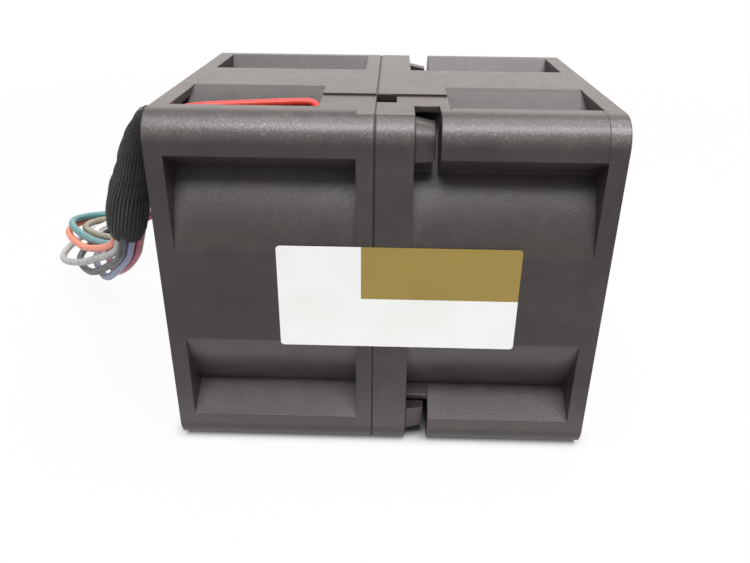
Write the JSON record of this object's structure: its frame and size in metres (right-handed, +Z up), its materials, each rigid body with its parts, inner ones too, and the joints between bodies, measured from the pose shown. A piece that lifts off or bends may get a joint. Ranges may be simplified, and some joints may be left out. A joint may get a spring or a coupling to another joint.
{
  "type": "cooling fan",
  "caption": "Square axial cooling fan of two snapped frames with counter-rotating impellers in line, screw holes at the corners and a sleeved lead to a plug.",
  "frame": {"origin": "middle of the face that the fan rests on, half way along its length", "axes": "+X along the fan axis from inlet to outlet, +Y to the back, +Z up"},
  "size_m": [0.0805, 0.0537, 0.04],
  "materials": {
    "frame_plastic": "charcoal glass-filled plastic, satin",
    "impeller_plastic": "black plastic, satin",
    "label_film": "blank film label with a gold field, satin",
    "lead_red": "red insulation",
    "lead_mixed": "mixed insulation, mostly dark",
    "sleeve_cloth": "black knitted sleeve, matte",
    "wire_orange": "orange insulation",
    "wire_teal": "teal insulation",
    "wire_olive": "olive insulation",
    "wire_white": "white insulation",
    "wire_grey": "grey insulation",
    "wire_black": "black insulation",
    "wire_blue": "blue insulation",
    "wire_crimson": "crimson insulation",
    "connector_plastic": "natural nylon",
    "terminal_tin": "tinned",
    "brass": "turned",
    "board_green": "solder mask over glass laminate",
    "chip_black": "moulded packages",
    "core_steel": "stacked laminations",
    "cap_plastic": "moulded insulation",
    "copper": "enamelled copper wire",
    "bearing_steel": "ground and polished",
    "sheet_steel": "pressed sheet",
    "magnet": "bonded ferrite",
    "washer_plastic": "low-friction plastic"
  },
  "bodies": {
    "housing": {"channel_lead_red": "lead_red", "channel_leads": "lead_mixed", "connector_housing": "connector_plastic", "connector_terminals": "terminal_tin", "inlet_bearing_shields": "sheet_steel", "inlet_bearing_tube": "brass", "inlet_board_components": "chip_black", "inlet_circuit_board": "board_green", "inlet_coil_windings": "copper", "inlet_frame": "frame_plastic", "inlet_insulators": "cap_plastic", "inlet_motor_leads": "lead_mixed", "inlet_outer_rings": "bearing_steel", "inlet_stator_core": "core_steel", "lead_sleeve": "sleeve_cloth", "outlet_bearing_shields": "sheet_steel", "outlet_bearing_tube": "brass", "outlet_board_components": "chip_black", "outlet_circuit_board": "board_green", "outlet_coil_windings": "copper", "outlet_frame": "frame_plastic", "outlet_insulators": "cap_plastic", "outlet_motor_leads": "lead_mixed", "outlet_outer_rings": "bearing_steel", "outlet_stator_core": "core_steel", "side_label": "label_film", "wire_black": "wire_black", "wire_blue": "wire_blue", "wire_crimson": "wire_crimson", "wire_grey": "wire_grey", "wire_olive": "wire_olive", "wire_orange": "wire_orange", "wire_teal": "wire_teal", "wire_white": "wire_white"},
    "inlet_rotor": {"inlet_impeller": "impeller_plastic", "inlet_inner_rings": "bearing_steel", "inlet_magnet_ring": "magnet", "inlet_preload_washer": "sheet_steel", "inlet_retaining_clip": "sheet_steel", "inlet_rotor_yoke": "sheet_steel", "inlet_shaft": "bearing_steel", "inlet_thrust_washer": "washer_plastic"},
    "inlet_balls": {"inlet_bearing_balls": "bearing_steel"},
    "outlet_rotor": {"outlet_impeller": "impeller_plastic", "outlet_inner_rings": "bearing_steel", "outlet_magnet_ring": "magnet", "outlet_preload_washer": "sheet_steel", "outlet_retaining_clip": "sheet_steel", "outlet_rotor_yoke": "sheet_steel", "outlet_shaft": "bearing_steel", "outlet_thrust_washer": "washer_plastic"},
    "outlet_balls": {"outlet_bearing_balls": "bearing_steel"}
  },
  "joints": [
    {"name": "inlet_spin", "type": "hinge", "parent": "housing", "child": "inlet_rotor", "pos_m": [0, 0, 0.02], "axis": [1, 0, 0], "continuous": true},
    {"name": "inlet_balls_roll", "type": "hinge", "parent": "housing", "child": "inlet_balls", "pos_m": [0, 0, 0.02], "axis": [1, 0, 0], "continuous": true},
    {"name": "outlet_spin", "type": "hinge", "parent": "housing", "child": "outlet_rotor", "pos_m": [0, 0, 0.02], "axis": [1, 0, 0], "continuous": true},
    {"name": "outlet_balls_roll", "type": "hinge", "parent": "housing", "child": "outlet_balls", "pos_m": [0, 0, 0.02], "axis": [1, 0, 0], "continuous": true}
  ],
  "couplings": [
    {"joint": "inlet_balls_roll", "follows": "inlet_spin", "ratio": 0.38},
    {"joint": "outlet_balls_roll", "follows": "outlet_spin", "ratio": 0.38}
  ]
}
